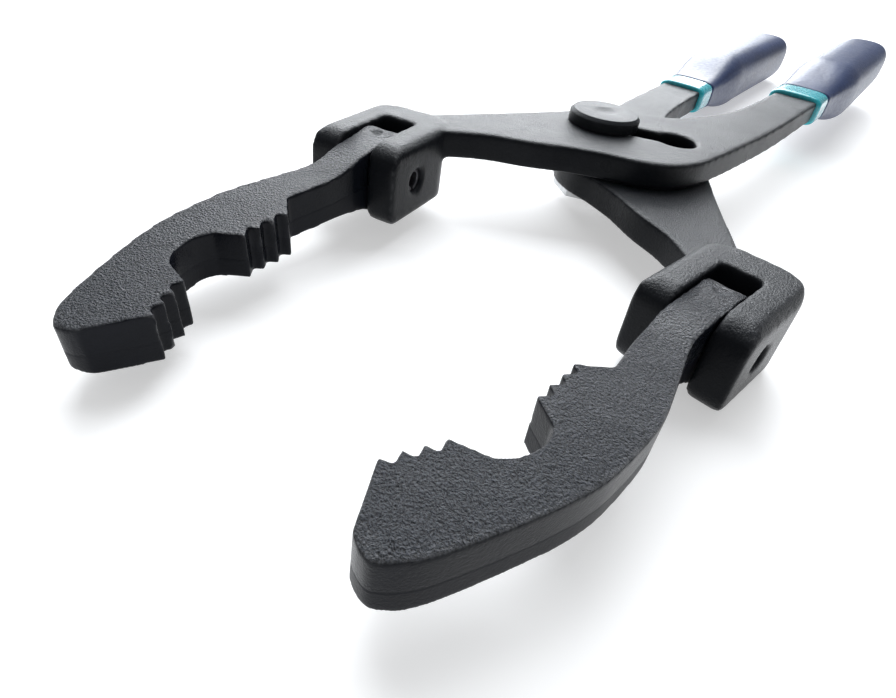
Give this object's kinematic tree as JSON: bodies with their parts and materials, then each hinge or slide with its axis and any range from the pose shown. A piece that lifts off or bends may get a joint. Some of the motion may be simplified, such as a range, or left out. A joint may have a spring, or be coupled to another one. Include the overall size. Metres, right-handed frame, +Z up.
{
  "type": "oil filter wrench",
  "caption": "Slip-joint plier wrench that grips a round oil filter between toothed jaws which tilt in clevises at the ends of its arms.",
  "frame": {"origin": "on the axis of the filter between the jaws, on the plane that the wrench lies on", "axes": "+Z up along the filter's axis, +Y from the jaws towards the handles, +X towards the right-hand jaw"},
  "size_m": [0.1008, 0.3591, 0.0274],
  "materials": {
    "forged_arm": "granular semi-matte black coating over forged steel",
    "jaw_black": "granular semi-matte black coating over forged steel",
    "bolt_black": "black oxide, satin",
    "pin_steel": "oiled dark spring steel",
    "zinc_steel": "zinc plated",
    "ball_steel": "polished bearing steel",
    "spring_steel": "plain spring wire",
    "grip_navy": "satin dipped vinyl",
    "band_turquoise": "satin dipped vinyl"
  },
  "bodies": {
    "lower_arm_body": {"lower_arm": "forged_arm", "right_jaw_pin": "pin_steel", "left_grip": "grip_navy", "left_grip_band": "band_turquoise", "right_detent_spring": "spring_steel"},
    "bolt_body": {"pivot_bolt": "bolt_black", "pivot_washer": "zinc_steel", "pivot_nut": "zinc_steel"},
    "upper_arm_body": {"upper_arm": "forged_arm", "left_jaw_pin": "pin_steel", "right_grip": "grip_navy", "right_grip_band": "band_turquoise", "left_detent_spring": "spring_steel"},
    "left_jaw_body": {"left_jaw": "jaw_black"},
    "right_jaw_body": {"right_jaw": "jaw_black"},
    "left_ball_body": {"left_detent_ball": "ball_steel"},
    "right_ball_body": {"right_detent_ball": "ball_steel"}
  },
  "joints": [
    {"name": "handle_pivot", "type": "hinge", "parent": "lower_arm_body", "child": "bolt_body", "pos_m": [-0.00964, 0.09619, 0], "axis": [0, 0, 1], "range_deg": [-28, 0.2]},
    {"name": "slip_slide", "type": "slide", "parent": "bolt_body", "child": "upper_arm_body", "axis": [-0.9336, -0.3584, 0], "range_m": [0, 0.0185]},
    {"name": "left_jaw_swivel", "type": "hinge", "parent": "upper_arm_body", "child": "left_jaw_body", "pos_m": [-0.0385, 0.044, 0.0123], "axis": [0.9893, 0.1461, 0], "range_deg": [-80, 80]},
    {"name": "right_jaw_swivel", "type": "hinge", "parent": "lower_arm_body", "child": "right_jaw_body", "pos_m": [0.0385, 0.044, 0.0089], "axis": [0.9893, -0.1461, 0], "range_deg": [-80, 80]},
    {"name": "left_detent", "type": "slide", "parent": "upper_arm_body", "child": "left_ball_body", "axis": [-0.1461, 0.9893, 0], "range_m": [0, 0.0008], "stiffness_N_per_m": 2000, "springref_m": -0.001, "deforming": ["left_detent_spring"]},
    {"name": "right_detent", "type": "slide", "parent": "lower_arm_body", "child": "right_ball_body", "axis": [0.1461, 0.9893, 0], "range_m": [0, 0.0008], "stiffness_N_per_m": 2000, "springref_m": -0.001, "deforming": ["right_detent_spring"]}
  ]
}
